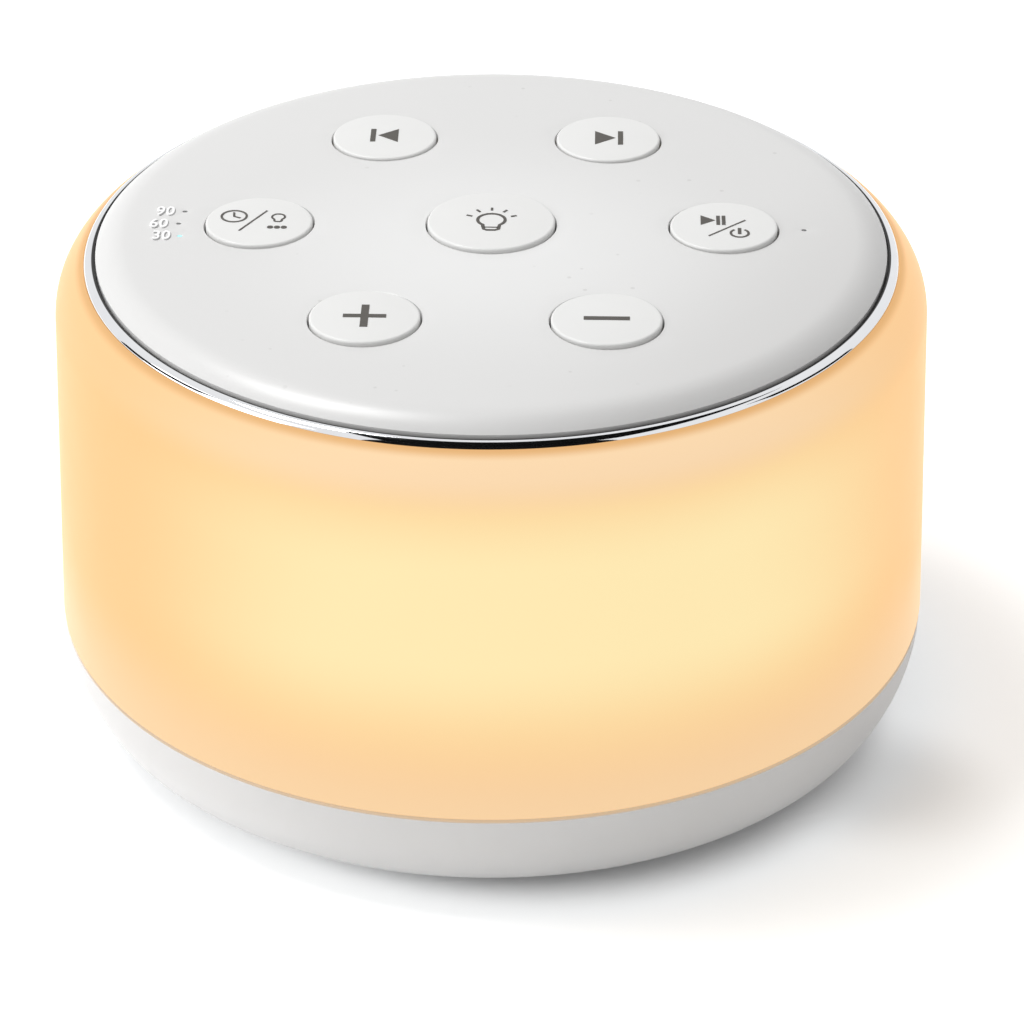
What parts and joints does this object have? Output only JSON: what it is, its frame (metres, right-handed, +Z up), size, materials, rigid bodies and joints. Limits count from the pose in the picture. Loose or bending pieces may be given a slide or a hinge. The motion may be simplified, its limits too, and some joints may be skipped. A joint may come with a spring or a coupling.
{
  "type": "white noise sound machine",
  "caption": "Round table-top sound machine and night light: glowing wall on a shallow foot pan, bright ring, domed lid with push keys, and a speaker that faces down.",
  "frame": {"origin": "on the surface that the feet stand on, under the middle of the round case", "axes": "+Z up through the middle of the case; -Y towards the front, where the symbols read upright; +Y towards the power socket"},
  "size_m": [0.101, 0.1008, 0.0598],
  "materials": {
    "lid_white": "fine satin moulded",
    "key_white": "fine satin moulded, printed symbols",
    "ring_chrome": "mirror plated",
    "diffuser_glow": "milky translucent, lit warm from inside",
    "pan_white": "fine satin moulded",
    "foot_rubber": "soft matte",
    "screw_steel": "zinc plated",
    "core_white": "matte moulded reflector",
    "strip_white": "coated flexible board",
    "light_yellow": "phosphor under clear resin",
    "board_green": "solder mask",
    "switch_black": "matte",
    "plunger_grey": "matte",
    "chip_black": "matte resin",
    "plug_white": "matte",
    "pipe_clear": "clear moulded",
    "frame_black": "black coated pressed steel",
    "magnet_grey": "sintered",
    "yoke_zinc": "zinc plated",
    "cone_paper": "coated pulp",
    "surround_rubber": "soft matte",
    "spider_cloth": "resin dipped",
    "gasket_foam": "closed cell foam",
    "socket_steel": "nickel plated",
    "lead_red": "smooth jacket",
    "lead_white": "smooth jacket",
    "lead_black": "smooth jacket"
  },
  "bodies": {
    "housing": {"top_cover": "lid_white", "chrome_ring": "ring_chrome", "diffuser": "diffuser_glow", "base_pan": "pan_white", "rubber_feet": "foot_rubber", "base_screws": "screw_steel", "inner_core": "core_white", "light_strip": "strip_white", "strip_lights": "light_yellow", "main_board": "board_green", "board_chips": "chip_black", "board_plugs": "plug_white", "indicator_lights": "light_yellow", "light_pipes": "pipe_clear", "switch_housings": "switch_black", "board_screws": "screw_steel", "cover_screws": "screw_steel", "speaker_gasket": "gasket_foam", "speaker_frame": "frame_black", "speaker_surround": "surround_rubber", "speaker_spider": "spider_cloth", "speaker_magnet": "magnet_grey", "speaker_yoke": "yoke_zinc", "speaker_screws": "screw_steel", "power_board": "board_green", "usb_socket": "socket_steel", "power_lead": "lead_red", "speaker_lead": "lead_black", "light_lead": "lead_white"},
    "play_button": {"play_key": "key_white", "play_plunger": "plunger_grey"},
    "next_button": {"next_key": "key_white", "next_plunger": "plunger_grey"},
    "previous_button": {"previous_key": "key_white", "previous_plunger": "plunger_grey"},
    "timer_button": {"timer_key": "key_white", "timer_plunger": "plunger_grey"},
    "volume_up_button": {"volume_up_key": "key_white", "volume_up_plunger": "plunger_grey"},
    "volume_down_button": {"volume_down_key": "key_white", "volume_down_plunger": "plunger_grey"},
    "light_button": {"light_key": "key_white", "light_plunger": "plunger_grey"},
    "cone": {"speaker_cone": "cone_paper"}
  },
  "joints": [
    {"name": "play_press", "type": "slide", "parent": "housing", "child": "play_button", "axis": [0, 0, -1], "range_m": [0, 0.0004], "stiffness_N_per_m": 2000},
    {"name": "next_press", "type": "slide", "parent": "housing", "child": "next_button", "axis": [0, 0, -1], "range_m": [0, 0.0004], "stiffness_N_per_m": 2000},
    {"name": "previous_press", "type": "slide", "parent": "housing", "child": "previous_button", "axis": [0, 0, -1], "range_m": [0, 0.0004], "stiffness_N_per_m": 2000},
    {"name": "timer_press", "type": "slide", "parent": "housing", "child": "timer_button", "axis": [0, 0, -1], "range_m": [0, 0.0004], "stiffness_N_per_m": 2000},
    {"name": "volume_up_press", "type": "slide", "parent": "housing", "child": "volume_up_button", "axis": [0, 0, -1], "range_m": [0, 0.0004], "stiffness_N_per_m": 2000},
    {"name": "volume_down_press", "type": "slide", "parent": "housing", "child": "volume_down_button", "axis": [0, 0, -1], "range_m": [0, 0.0004], "stiffness_N_per_m": 2000},
    {"name": "light_press", "type": "slide", "parent": "housing", "child": "light_button", "axis": [0, 0, -1], "range_m": [0, 0.0004], "stiffness_N_per_m": 2000},
    {"name": "cone_stroke", "type": "slide", "parent": "housing", "child": "cone", "axis": [0, 0, 1], "range_m": [-0.0008, 0.0008], "stiffness_N_per_m": 900}
  ]
}
